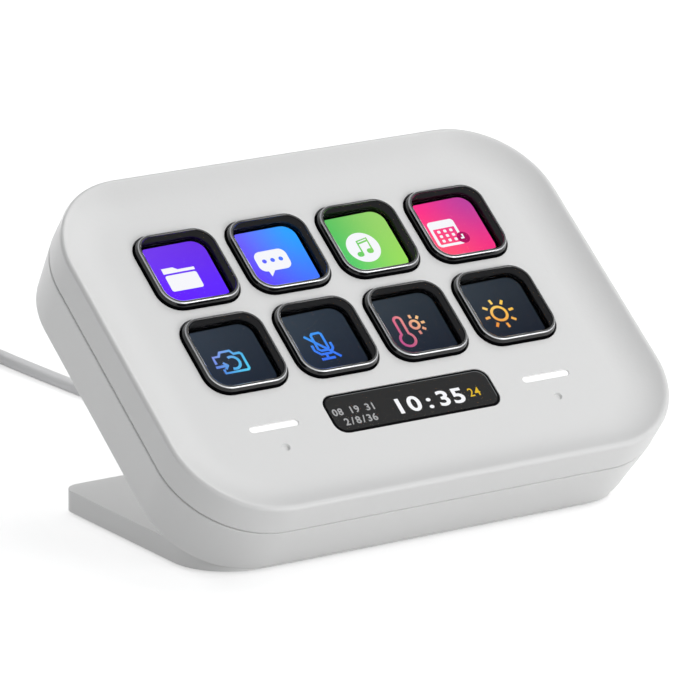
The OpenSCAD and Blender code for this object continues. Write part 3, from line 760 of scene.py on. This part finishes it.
class KEYPAD_OT_front_shell(Operator):
    """Makes the dished front shell with its openings"""

    bl_idname = "keypad.front_shell"
    bl_label = "Front shell"

    def execute(self, context):
        housing = context.scene.keypad_housing
        e = housing.opening_edge
        bm = bmesh.new()
        carry_round(bm, band_profile(housing), (housing.width, housing.height), housing.corner, steps=18)

        def opening(size, radius, centre):
            wall = [(radius + e, 0), (radius + 0.3 * e, -0.3 * e), (radius, -e), (radius, UNDER_N)]
            carry_round(bm, wall, size, radius, centre, steps=8)

        for centre in KEY_CENTRES.values():
            opening(KEY_OPENING, 4.6, centre)
        opening(BAR_OPENING, 2.5, BAR_MIDDLE)
        dimple = [(0.85, 0), (0.79, -0.06), (0.75, -0.22), (0.6, -0.42), (0.25, -0.49), (0, -0.5)]
        for light_spot, dimple_spot in zip(LIGHT_SPOTS, DIMPLE_SPOTS):
            opening(LIGHT_OPENING, 0.7, light_spot)
            carry_round(bm, dimple, (1.2, 1.2), 0.6, dimple_spot, steps=5)
        close_shell(bm, 0, UNDER_N)
        boss = [(1.05, BOSS_N), (2.8, BOSS_N), (2.8, -0.3), (1.05, -0.3), (1.05, BOSS_N)]
        for spot in SCREW_SPOTS:
            rod(bm, boss, spot)
        make_cover("front_cover", bm, "front_shell")
        return {"FINISHED"}


class KEYPAD_OT_rear_shell(Operator):
    """Makes the drafted rear shell with its screw and lead holes"""

    bl_idname = "keypad.rear_shell"
    bl_label = "Rear shell"

    def execute(self, context):
        housing = context.scene.keypad_housing
        edge = housing.corner
        bm = bmesh.new()
        lip = (edge - GROOVE, PART_N)
        outside = [lip, (edge - GROOVE, PART_N - 0.2), (edge - 0.13, PART_N - 0.2)]
        outside += [(edge - 0.02, PART_N - 0.35)] + arc(edge - 1.7, BACK_N + 0.6, 0.6, 0, -90, 5)
        tongue = [(edge - 3.05, -7.2), (edge - 3.05, -3.5), (edge - 2.15, -3.5), (edge - 2.15, PART_N)]
        inside = [(edge - 3.1, FLOOR_N), (edge - 2.45, -7.2)] + tongue + [lip]
        for wall in (outside, inside):
            carry_round(bm, wall, (housing.width, housing.height), edge, steps=18)
        bore = [(2.27, BACK_N), (2.15, BACK_N + 0.12), (2.15, -12.1), (1.15, -12.1), (1.15, FLOOR_N + 4)]
        for spot in SCREW_SPOTS:
            carry_round(bm, bore, (4.3, 4.3), 2.15, spot, steps=8)
        exit_wall = [(3.35, BACK_N), (3.25, BACK_N + 0.1), (3.25, FLOOR_N)]
        carry_round(bm, exit_wall, (6.5, 6.5), 3.25, LEAD_SPOT, steps=8)
        close_shell(bm, BACK_N, FLOOR_N)
        make_cover("rear_cover", bm, "rear_shell")
        return {"FINISHED"}


# ---- Keys ----

SHOULDER_N = 0.45  # height at which a key's side turns in to its rim


class KEYPAD_OT_keys(Operator):
    """Makes the eight black key frames and their clear lenses"""

    bl_idname = "keypad.keys"
    bl_label = "Keys"

    def execute(self, context):
        keys = context.scene.keypad_keys
        corner = keys.corner
        e = keys.edge
        lens_corner = keys.lens / 2 - (keys.size / 2 - corner)
        hole = keys.lens / 2 + 0.05 - (keys.size / 2 - corner)
        flange = [(hole, KEY_FOOT_N), (corner + 0.7, KEY_FOOT_N), (corner + 0.7, -1.5), (corner, -1.5)]
        section = flange + [(corner, 0), (corner - 0.07, SHOULDER_N)]
        section += arc(corner - 0.35 - e, keys.proud - e, e, 10, 90, 5)
        section += [(hole + 0.06, keys.proud), (hole, keys.proud - 0.06)]
        surround = [finish("Black glossy plastic", colour=keys.colour)]
        surround += [finish(name) for name in ("Key rim painted highlight", "Painted gap shade", "Black key side painted sheen")]
        # The lens's sides glow an even dark grey: painted glow, standing for the display's light seen in the
        # wells round each picture
        clear = [finish("Key lens"), plain_lit("Well side painted glow", (38, 38, 39))]
        black, highlight_rim, painted_gap_shade, side = range(4)
        for n, centre in KEY_CENTRES.items():
            bm = bmesh.new()
            hoop(bm, section, (keys.size, keys.size), corner, centre, 10)
            for face in bm.faces:
                z = [v.co.z for v in face.verts]
                outward = (face.calc_center_median().xy - Vector(centre)).dot(face.normal.xy) > 0
                # Below the shoulder a key's side takes painted shade, for the shadow in the gap round its
                # foot
                if max(z) < SHOULDER_N + 0.01:
                    face.material_index = painted_gap_shade
                # The rounded rim takes the painted highlight of bright metal
                elif min(z) > keys.proud - e - 0.05 and face.normal.z < 0.97 and outward:
                    face.material_index = highlight_rim
                # The upright outer side takes a painted sheen of grey
                elif outward and abs(face.normal.z) < 0.3:
                    face.material_index = side
                else:
                    face.material_index = black
            make_piece(f"key_{n}_surround", bm, surround, [f"key_frame_{n}"], f"key_{n}")
            bm = bmesh.new()
            plate(bm, (keys.lens, keys.lens), lens_corner, -2.5, keys.proud - 0.1, centre, 0.15, 8)
            for face in bm.faces:
                if abs(face.normal.z) < 0.2:
                    face.material_index = 1
            make_piece(f"key_{n}_clear", bm, clear, [f"key_lens_{n}"], f"key_{n}")
        return {"FINISHED"}


# ---- Silicone mat under the keys ----


class KEYPAD_OT_mat(Operator):
    """Makes the silicone mat and the dome ring under each key"""

    bl_idname = "keypad.mat"
    bl_label = "Silicone mat"

    def execute(self, context):
        keys = context.scene.keypad_keys
        silicone = finish("Black silicone")
        top = MAT_N - 0.01
        bm = bmesh.new()
        bm.from_mesh(frame["nodes"]["dome_mat"].data)
        bmesh.ops.transform(bm, matrix=Matrix.Scale(1 / MM, 4) @ FACE.inverted(), verts=bm.verts)
        merge(bm)
        bmesh.ops.bisect_plane(
            bm, geom=bm.verts[:] + bm.edges[:] + bm.faces[:], plane_co=(0, 0, top), plane_no=(0, 0, 1),
            clear_outer=True,
        )
        fill_flat(bm, top)
        make_piece("mat_sheet", bm, [silicone], ["dome_mat"])
        inner = keys.lens / 2 + 0.3 - (keys.size / 2 - keys.corner)
        outer = keys.corner - 0.1
        section = [(inner, MAT_N), (outer, MAT_N), (outer, SKIRT_N), (inner, SKIRT_N)]
        for n, centre in KEY_CENTRES.items():
            bm = bmesh.new()
            hoop(bm, section, (keys.size, keys.size), keys.corner, centre)
            dome = make_piece(f"dome_{n}", bm, [silicone])
            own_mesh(dome)
        return {"FINISHED"}


# ---- Pictures and display bar ----

# Colours of each key's picture, at its lower left, lower right, upper left and upper right
PICTURE_COLOURS = {
    1: ((98, 26, 255), (92, 40, 250), (112, 60, 228), (104, 52, 222)),
    2: ((98, 40, 240), (70, 110, 250), (112, 80, 240), (40, 160, 250)),
    3: ((60, 196, 110), (150, 216, 88), (78, 186, 92), (150, 204, 104)),
    4: ((255, 96, 104), (246, 48, 122), (255, 44, 128), (178, 66, 152)),
    5: ((36, 44, 60), (34, 42, 54), (56, 65, 76), (46, 54, 64)),
    6: ((36, 46, 64), (34, 40, 52), (58, 68, 78), (46, 55, 66)),
    7: ((36, 42, 56), (33, 39, 50), (58, 66, 74), (46, 54, 62)),
    8: ((36, 42, 54), (33, 38, 48), (56, 64, 72), (45, 52, 60)),
}
SIGN_COLOURS = {
    5: ((70, 120, 220), (90, 215, 245), (150, 160, 235), (80, 170, 230)),
    6: ((60, 110, 240), (60, 120, 250), (70, 160, 245), (70, 150, 245)),
    7: ((190, 84, 140), (215, 120, 120), (222, 96, 140), (255, 215, 140)),
    8: ((240, 130, 40), (250, 180, 90), (255, 225, 130), (255, 205, 70)),
}
SIGN_FOOT_N = SIGN_N - 0.02
PICTURE_REACH = 7.3
SIGN_REACH = 3.6
FILLED_LIGHT = 1.12  # strength of the light pictures


def sun(x, y, radius, inner, outer, rays):
    """Strokes of a sun: a ring and its rays, given by their angles."""
    lines = [arc(x, y, radius)]
    for angle in rays:
        lines.append([arc(x, y, r, angle, angle, 1)[0] for r in (inner, outer)])
    return lines


def folder_sign(bm, centre):
    x, y = centre
    tab = [(-3.2, 1.3), (-3.2, 2.5), (-0.9, 2.5), (-0.1, 1.9), (3.2, 1.9), (3.2, 1.3)]
    shape(bm, tab, centre, SIGN_FOOT_N, SIGN_N)
    plate(bm, (6.4, 3.5), 0.45, SIGN_FOOT_N, SIGN_N, (x, y - 0.85))


def talk_sign(bm, centre):
    x, y = centre
    plate(bm, (6.6, 4.4), 1.4, SIGN_FOOT_N, SIGN_N, (x, y + 0.5))
    shape(bm, [(-1.7, -2.9), (-0.3, -1.4), (-1.9, -1.4)], centre, SIGN_FOOT_N, SIGN_N)
    for dot in (-1.7, 0, 1.7):
        plate(bm, (0.9, 0.9), 0.45, SIGN_N, SIGN_N + 0.02, (x + dot, y + 0.5), steps=4, material=1)


def note_sign(bm, centre):
    x, y = centre
    plate(bm, (6.6, 6.6), 3.29, SIGN_FOOT_N, SIGN_N, (x, y), steps=10)
    lines = [[(-0.75, -1.35), (-0.75, 1.45), (1.45, 1.85), (1.45, -0.95)], [(-0.75, 0.9), (1.45, 1.3)]]
    strokes(bm, lines, 0.36, SIGN_N + 0.02, centre, 1)
    for note in ((-1.25, -1.4), (0.95, -1.0)):
        spot = (x + note[0], y + note[1])
        plate(bm, (1.35, 1.05), 0.52, SIGN_N, SIGN_N + 0.03, spot, steps=5, material=1)


def day_sign(bm, centre):
    x, y = centre[0] - 1.1, centre[1] + 0.1
    plate(bm, (5.6, 5.8), 0.7, SIGN_FOOT_N, SIGN_N, (x, y))
    plate(bm, (4.5, 3.5), 0.12, SIGN_N, SIGN_N + 0.02, (x, y - 0.6), material=1)
    for column in range(3):
        for row in range(3):
            spot = (x - 1.3 + 1.3 * column, y + 0.45 - 1.05 * row)
            plate(bm, (0.62, 0.62), 0.18, SIGN_N + 0.02, SIGN_N + 0.04, spot, steps=3)
    spot = (x + 2.9, y - 1.6)
    plate(bm, (2.5, 2.5), 1.24, SIGN_N + 0.03, SIGN_N + 0.05, spot, material=2)
    strokes(bm, [[(0, 0.75), (0, -0.1), (-0.55, -0.1)]], 0.4, SIGN_N + 0.07, spot)


def camera_lines():
    body = [(-2.8, -0.1), (-2.8, 1.4), (-1.6, 1.4), (-1.1, 2.2), (0.9, 2.2), (1.4, 1.4), (2.6, 1.4)]
    body += [(2.9, 1.1), (2.9, -2.0), (2.6, -2.3), (-1.9, -2.3), (-1.9, -1.4)]
    arrow = [[(-3.2, -0.75), (-0.8, -0.75)], [(-1.5, -0.05), (-0.8, -0.75), (-1.5, -1.45)]]
    return [body, arc(0.45, -0.4, 1.3, -115, 115, 14)] + arrow


def microphone_lines():
    head = [(-1.05, -0.7), (-1.05, 2.3), (-0.7, 2.65), (0.7, 2.65), (1.05, 2.3), (1.05, -0.7)]
    head += [(0.6, -1.15), (-0.6, -1.15), (-1.05, -0.7)]
    holder = [(-1.9, 0.3), (-1.9, -0.9), (-1.0, -1.9), (1.0, -1.9), (1.9, -0.9), (1.9, 0.3)]
    return [head, holder, [(0, -1.9), (0, -2.9)], [(-1.4, -2.95), (1.4, -2.95)], [(-2.5, 2.4), (2.6, -3.0)]]


def thermometer_lines():
    bulb = math.degrees(math.asin(0.75 / 1.45))
    tube = arc(-1.7, 2.3, 0.75, 0, 180, 8) + arc(-1.7, -2.0, 1.45, 90 + bulb, 450 - bulb, 16)
    return [tube + [tube[0]]] + sun(1.15, 0.8, 0.85, 1.45, 2.2, (-82, -38, 6, 50, 94))


def sun_lines():
    return sun(0, 0, 1.5, 2.25, 3.25, range(10, 360, 45))


class KEYPAD_OT_pictures(Operator):
    """Makes the lit picture and its sign under each key"""

    bl_idname = "keypad.pictures"
    bl_label = "Pictures"

    def execute(self, context):
        filled = {1: folder_sign, 2: talk_sign, 3: note_sign, 4: day_sign}
        drawn = {5: camera_lines, 6: microphone_lines, 7: thermometer_lines, 8: sun_lines}
        white = plain_lit("White sign", (250, 250, 252))
        for n, centre in KEY_CENTRES.items():
            strength = FILLED_LIGHT if n in filled else 1.0
            lit = picture_material(f"Picture {n}", centre, PICTURE_REACH, PICTURE_COLOURS[n], strength)
            bm = bmesh.new()
            plate(bm, PICTURE, 2.6, PANEL_N + 0.03, PANEL_N + 0.08, centre)
            make_piece(f"picture_{n}", bm, [lit])
            bm = bmesh.new()
            if n in filled:
                filled[n](bm, centre)
                materials = [white, lit, plain_lit("Badge", (176, 24, 96))]
            else:
                strokes(bm, drawn[n](), 0.54, SIGN_N, centre)
                materials = [picture_material(f"Sign {n}", centre, SIGN_REACH, SIGN_COLOURS[n])]
            make_piece(f"sign_{n}", bm, materials)
        return {"FINISHED"}


class KEYPAD_OT_bar(Operator):
    """Makes the display bar's window with its plain numbers"""

    bl_idname = "keypad.bar"
    bl_label = "Display bar"

    def execute(self, context):
        numbers = context.scene.keypad_numbers
        bm = bmesh.new()
        plate(bm, (38.6, 11.2), 3.7, -2.0, UNDER_N, BAR_MIDDLE, steps=8)
        plate(bm, BAR_STEP, 2.4, UNDER_N, -0.5, BAR_MIDDLE, steps=8)
        ledge = [(2.08, -0.9), (2.4, -0.9), (2.4, -0.14), (2.34, -0.08), (2.14, -0.08), (2.08, -0.14)]
        hoop(bm, ledge, BAR_STEP, 2.4, BAR_MIDDLE)
        make_piece("bar_window", bm, [finish("Dark panel glass")], ["info_window"])
        bm = bmesh.new()
        plate(bm, BAR_SCREEN, BAR_CORNER, -0.48, -0.34, BAR_MIDDLE, steps=8)
        bevel = [(1.95, -0.34), (BAR_CORNER, -0.34), (BAR_CORNER, -0.3), (1.95, -0.3)]
        hoop(bm, bevel, BAR_SCREEN, BAR_CORNER, BAR_MIDDLE, material=1)
        # The thin bevel round the screen glows light grey: a painted glint along the window's edge
        screen = [plain_lit("Bar screen", (50, 50, 50)), plain_lit("Bar bevel painted glint", (120, 122, 122))]
        make_piece("bar_screen", bm, screen)
        bm = bmesh.new()
        # Each number: its ends, base line, height, boldness and ink
        digits(bm, numbers.clock, -4.6, 11.4, -21.5, 3.3, 0.024, 0)
        digits(bm, numbers.upper, -17.0, -7.6, -19.5, 1.5, 0.02, 1)
        digits(bm, numbers.lower, -15.6, -8.4, -21.9, 1.55, 0.02, 1)
        digits(bm, numbers.right, 12.1, 14.8, -20.7, 1.9, 0.006, 2)
        inks = {"White": (250, 250, 250), "Grey": (172, 172, 172), "Yellow": (232, 190, 52)}
        inks = [plain_lit(f"{name} digits", colour) for name, colour in inks.items()]
        make_piece("bar_numbers", bm, inks)
        bm = bmesh.new()
        plate(bm, BAR_SCREEN, BAR_CORNER, -0.28, -0.02, BAR_MIDDLE, edge=0.2, steps=8)
        make_piece("bar_glass", bm, [finish("Key lens")])
        return {"FINISHED"}


# ---- Nodes that keep their own shape ----

NODE_FINISHES = {
    "Amber ribbon": ("display_ribbon", "info_ribbon"),
    "Black rubber sole": ("foot_sole",),
    "Board": ("main_board",),
    "Chip package": ("board_chips",),
    "Copper film": ("touch_pad_left", "touch_pad_right"),
    "Cream socket": ("lead_socket",),
    "Dark inner plastic": ("key_guide", "display_carrier", "lead_clamp"),
    "Dark panel glass": ("display_panel", "info_display"),
    "Light guide": ("light_bar_left", "light_bar_right", "board_leds"),
    "White inner plastic": ("display_backlight",),
    "Wire jacket": ("inner_lead",),
}


class KEYPAD_OT_finishes(Operator):
    """Gives the pieces that keep their own shape their finishes"""

    bl_idname = "keypad.finishes"
    bl_label = "Finishes"

    def execute(self, context):
        finishes = {node: name for name, nodes in NODE_FINISHES.items() for node in nodes}
        for name, node in frame["nodes"].items():
            if node.type == "MESH":
                node.data.materials.clear()
                node.data.materials.append(finish(finishes.get(name, "Nickel plate")))
        return {"FINISHED"}


class KEYPAD_OT_foot(Operator):
    """Makes the bent foot with softened edges"""

    bl_idname = "keypad.foot"
    bl_label = "Foot"

    def execute(self, context):
        refine_node("stand", "foot", white_plastic(), 0.6)
        return {"FINISHED"}


class KEYPAD_OT_fittings(Operator):
    """Makes the strain relief, the plug and the screws"""

    bl_idname = "keypad.fittings"
    bl_label = "Fittings"

    def execute(self, context):
        rubber = finish("White lead jacket")
        steel = finish("Nickel plate")
        refine_node("strain_relief", "lead_relief", rubber, 0.08)
        refine_node("plug_shell", "lead_plug", rubber, 0.8)
        refine_node("plug_contact", "lead_contact", steel, 0.25)
        refine_node("shell_screws", "cover_screws", steel, 0.15)
        return {"FINISHED"}


# ---- Stage ----

CAMERA_PLACE = (-0.59394, -0.89253, 0.33659)
CAMERA_RIGHT = (0.8335, -0.5525, 0.0043)
CAMERA_BACK = (-0.5322, -0.8007, 0.2751)
AIM = Vector((0, 0, 0.03))  # where the lamps point
# Each lamp's place and size in metres, and its power in watts
LAMPS = {
    "overhead lamp": ((0.72, -0.06, 1.18), 1.4, 7),
    "front lamp": ((0.45, -1.05, 0.22), 0.6, 4.6),
    "back lamp": ((-0.08, 1.0, 0.42), 0.5, 2.8),
}
FLOOR_LIFT = 0.56  # light of its own that makes the floor read white
SOFT_LIGHT = 0.36


def direct_rays(tree):
    """A value that is 1 for rays from the camera, mirrors and glass."""
    rays = add_node(tree, "LightPath").outputs
    first = reckon(tree, "MAXIMUM", rays["Is Camera Ray"], rays["Is Glossy Ray"])
    return reckon(tree, "MAXIMUM", first, rays["Is Transmission Ray"])


def empty_tree(owner):
    """The cleared node tree of a material or a world."""
    owner.use_nodes = True
    owner.node_tree.nodes.clear()
    return owner.node_tree


def make_camera(scene):
    view = bpy.data.cameras.new("camera")
    view.lens = 312.1
    view.sensor_width = 36
    view.clip_start = 0.05
    view.clip_end = 20
    camera = bpy.data.objects.new("camera", view)
    back = Vector(CAMERA_BACK).normalized()
    right = Vector(CAMERA_RIGHT)
    right = (right - back * right.dot(back)).normalized()
    turn = Matrix((right, back.cross(right), back)).transposed().to_4x4()
    camera.matrix_world = Matrix.Translation(CAMERA_PLACE) @ turn
    scene.collection.objects.link(camera)
    scene.camera = camera


def make_floor():
    """A pale floor that reads white where it is seen, and keeps its shadows."""
    bm = bmesh.new()
    bmesh.ops.create_grid(bm, x_segments=2, y_segments=2, size=3)
    material = bpy.data.materials.new("Pale floor")
    tree = empty_tree(material)
    plain = add_node(tree, "BsdfDiffuse", Color=(0.82, 0.82, 0.82, 1))
    share = reckon(tree, "MULTIPLY", direct_rays(tree), FLOOR_LIFT)
    lift = add_node(tree, "Emission", Color=WHITE, Strength=share)
    both = add_node(tree, "AddShader", plain.outputs[0], lift.outputs[0])
    add_node(tree, "OutputMaterial", both.outputs[0])
    make_object("floor", bm, [material])


def make_lamps(scene):
    for name, (spot, size, power) in LAMPS.items():
        lamp = bpy.data.lights.new(name, "AREA")
        lamp.shape = "DISK"
        lamp.size = size
        lamp.energy = power
        holder = bpy.data.objects.new(name, lamp)
        holder.location = spot
        holder.rotation_mode = "QUATERNION"
        holder.rotation_quaternion = (Vector(spot) - AIM).to_track_quat("Z", "Y")
        scene.collection.objects.link(holder)


def make_world(scene):
    """Soft light on the object; white where the camera sees it, and low down where a mirror does."""
    scene.world = scene.world or bpy.data.worlds.new("studio")
    tree = empty_tree(scene.world)
    place = add_node(tree, "TexCoord")
    split = add_node(tree, "SeparateXYZ", place.outputs["Generated"])
    low = add_node(tree, "MapRange", Value=split.outputs["Z"], From_Min=0.55, From_Max=0.35)
    share = reckon(tree, "MULTIPLY", direct_rays(tree), low.outputs["Result"])
    path = add_node(tree, "LightPath")
    seen = reckon(tree, "MAXIMUM", path.outputs["Is Camera Ray"], share)
    soft = add_node(tree, "Background", Color=(0.98, 0.99, 1, 1), Strength=SOFT_LIGHT)
    plain = add_node(tree, "Background", Color=WHITE, Strength=1.0)
    mixed = add_node(tree, "MixShader", seen, soft.outputs[0], plain.outputs[0])
    add_node(tree, "OutputWorld", mixed.outputs[0])


class KEYPAD_OT_stage(Operator):
    """Makes the camera, the floor and the soft studio light"""

    bl_idname = "keypad.stage"
    bl_label = "Stage"

    def execute(self, context):
        make_camera(context.scene)
        make_floor()
        make_lamps(context.scene)
        make_world(context.scene)
        context.scene.view_settings.view_transform = "Standard"
        return {"FINISHED"}


# ---- Panel and registration ----

# In the order in which they run
OPERATORS = (
    KEYPAD_OT_stage, KEYPAD_OT_fittings, KEYPAD_OT_lead, KEYPAD_OT_finishes, KEYPAD_OT_front_shell,
    KEYPAD_OT_rear_shell, KEYPAD_OT_foot, KEYPAD_OT_keys, KEYPAD_OT_mat, KEYPAD_OT_pictures,
    KEYPAD_OT_bar,
)


class KEYPAD_PT_panel(Panel):
    """Lists the keypad's pieces in the sidebar"""

    bl_idname = "KEYPAD_PT_panel"
    bl_label = "Keypad"
    bl_space_type = "VIEW_3D"
    bl_region_type = "UI"
    bl_category = "Keypad"

    def draw(self, context):
        for operator in OPERATORS:
            self.layout.operator(operator.bl_idname)


GROUPS = {
    "keypad_housing": KEYPAD_PG_housing,
    "keypad_keys": KEYPAD_PG_keys,
    "keypad_lead": KEYPAD_PG_lead,
    "keypad_numbers": KEYPAD_PG_numbers,
}
CLASSES = (*GROUPS.values(), *OPERATORS, KEYPAD_PT_panel)


def register():
    for kind in CLASSES:
        bpy.utils.register_class(kind)
    for name, group in GROUPS.items():
        setattr(bpy.types.Scene, name, PointerProperty(type=group))


def unregister():
    for name in GROUPS:
        delattr(bpy.types.Scene, name)
    for kind in reversed(CLASSES):
        bpy.utils.unregister_class(kind)


def main():
    """Makes every piece in order."""
    register()
    for operator in OPERATORS:
        getattr(bpy.ops.keypad, operator.bl_idname.split(".")[1])()


if __name__ == "__main__":
    main()
